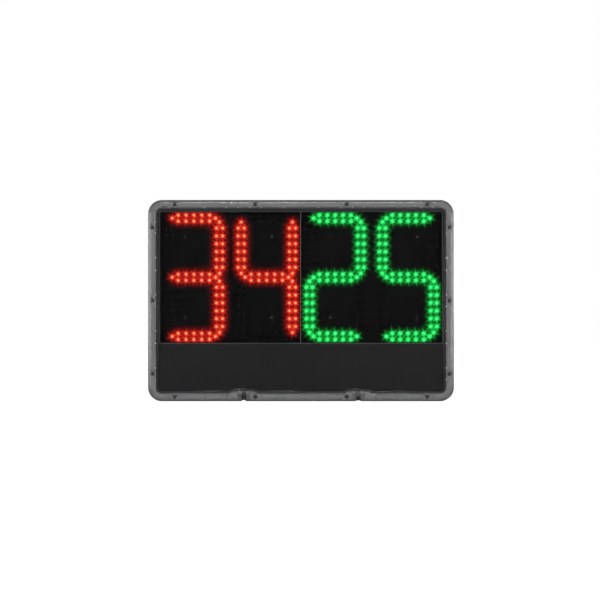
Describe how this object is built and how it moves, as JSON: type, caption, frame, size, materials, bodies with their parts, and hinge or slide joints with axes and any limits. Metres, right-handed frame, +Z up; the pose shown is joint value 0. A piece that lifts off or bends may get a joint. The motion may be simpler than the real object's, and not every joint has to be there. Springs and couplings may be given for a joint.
{
  "type": "electronic substitution scoreboard",
  "caption": "Hand-held electronic substitution scoreboard: LED digits behind a clear window in a smoke-tinted rounded frame, with a rear keypad, battery door, charge socket and power button.",
  "frame": {"origin": "on the floor under the middle of the board, in the plane where the two frame halves meet", "axes": "+X to the right as the digits are read, +Y from the display to the keypad side, +Z up"},
  "size_m": [0.62, 0.036, 0.408],
  "materials": {
    "smoked_polycarbonate": "moulded smoke-tinted translucent polycarbonate",
    "clear_polycarbonate": "clear polished polycarbonate sheet",
    "black_rubber": "matt moulded rubber",
    "black_steel": "black-coated steel",
    "zinc_steel": "bright zinc plating",
    "charcoal_panel": "finely textured moulding",
    "grey_carrier": "matt moulding",
    "black_circuit_board": "black solder mask",
    "green_circuit_board": "green solder mask",
    "red_lens": "moulded lamp lens",
    "green_lens": "moulded lamp lens",
    "satin_black_panel": "satin film on plastic sheet",
    "ivory_nylon": "moulded nylon",
    "grey_cable": "flexible sleeve",
    "black_moulding": "matt moulding",
    "cell_sleeve": "shrink sleeve",
    "grey_key": "matt silicone",
    "red_key": "matt silicone",
    "green_key": "matt silicone"
  },
  "bodies": {
    "board_body": {"back_panel": "charcoal_panel", "back_panel_seal": "black_rubber", "battery_cells": "cell_sleeve", "battery_contacts": "zinc_steel", "battery_door": "charcoal_panel", "battery_door_screws": "black_steel", "battery_lead": "grey_cable", "battery_tray": "grey_carrier", "board_screws": "black_steel", "carrier_screws": "black_steel", "charge_lead": "grey_cable", "charge_pin": "zinc_steel", "charge_socket": "black_moulding", "control_board": "green_circuit_board", "control_board_screws": "zinc_steel", "control_connectors": "ivory_nylon", "cover_screws": "black_steel", "display_carrier": "grey_carrier", "display_connectors": "ivory_nylon", "front_frame": "smoked_polycarbonate", "front_window": "clear_polycarbonate", "green_display_board": "black_circuit_board", "green_display_ribbon": "grey_cable", "green_tens_leds": "green_lens", "green_units_leds": "green_lens", "key_switches": "black_moulding", "power_lead": "grey_cable", "power_switch": "black_moulding", "rear_frame": "smoked_polycarbonate", "red_display_board": "black_circuit_board", "red_display_ribbon": "grey_cable", "red_tens_leds": "red_lens", "red_units_leds": "red_lens", "sponsor_panel": "satin_black_panel", "window_seal": "black_rubber"},
    "number_key_0_body": {"number_key_0": "grey_key"},
    "number_key_1_body": {"number_key_1": "grey_key"},
    "number_key_2_body": {"number_key_2": "grey_key"},
    "number_key_3_body": {"number_key_3": "grey_key"},
    "number_key_4_body": {"number_key_4": "grey_key"},
    "number_key_5_body": {"number_key_5": "grey_key"},
    "number_key_6_body": {"number_key_6": "grey_key"},
    "number_key_7_body": {"number_key_7": "grey_key"},
    "number_key_8_body": {"number_key_8": "grey_key"},
    "number_key_9_body": {"number_key_9": "grey_key"},
    "out_key_body": {"out_key": "red_key"},
    "in_key_body": {"in_key": "green_key"},
    "power_button_body": {"power_button": "black_rubber"}
  },
  "joints": [
    {"name": "number_key_0_press", "type": "slide", "parent": "board_body", "child": "number_key_0_body", "axis": [0, -1, 0], "range_m": [0, 0.0012], "stiffness_N_per_m": 1500},
    {"name": "number_key_1_press", "type": "slide", "parent": "board_body", "child": "number_key_1_body", "axis": [0, -1, 0], "range_m": [0, 0.0012], "stiffness_N_per_m": 1500},
    {"name": "number_key_2_press", "type": "slide", "parent": "board_body", "child": "number_key_2_body", "axis": [0, -1, 0], "range_m": [0, 0.0012], "stiffness_N_per_m": 1500},
    {"name": "number_key_3_press", "type": "slide", "parent": "board_body", "child": "number_key_3_body", "axis": [0, -1, 0], "range_m": [0, 0.0012], "stiffness_N_per_m": 1500},
    {"name": "number_key_4_press", "type": "slide", "parent": "board_body", "child": "number_key_4_body", "axis": [0, -1, 0], "range_m": [0, 0.0012], "stiffness_N_per_m": 1500},
    {"name": "number_key_5_press", "type": "slide", "parent": "board_body", "child": "number_key_5_body", "axis": [0, -1, 0], "range_m": [0, 0.0012], "stiffness_N_per_m": 1500},
    {"name": "number_key_6_press", "type": "slide", "parent": "board_body", "child": "number_key_6_body", "axis": [0, -1, 0], "range_m": [0, 0.0012], "stiffness_N_per_m": 1500},
    {"name": "number_key_7_press", "type": "slide", "parent": "board_body", "child": "number_key_7_body", "axis": [0, -1, 0], "range_m": [0, 0.0012], "stiffness_N_per_m": 1500},
    {"name": "number_key_8_press", "type": "slide", "parent": "board_body", "child": "number_key_8_body", "axis": [0, -1, 0], "range_m": [0, 0.0012], "stiffness_N_per_m": 1500},
    {"name": "number_key_9_press", "type": "slide", "parent": "board_body", "child": "number_key_9_body", "axis": [0, -1, 0], "range_m": [0, 0.0012], "stiffness_N_per_m": 1500},
    {"name": "out_key_press", "type": "slide", "parent": "board_body", "child": "out_key_body", "axis": [0, -1, 0], "range_m": [0, 0.0012], "stiffness_N_per_m": 1500},
    {"name": "in_key_press", "type": "slide", "parent": "board_body", "child": "in_key_body", "axis": [0, -1, 0], "range_m": [0, 0.0012], "stiffness_N_per_m": 1500},
    {"name": "power_button_press", "type": "slide", "parent": "board_body", "child": "power_button_body", "axis": [0, 0, 1], "range_m": [0, 0.0015], "stiffness_N_per_m": 1500}
  ]
}
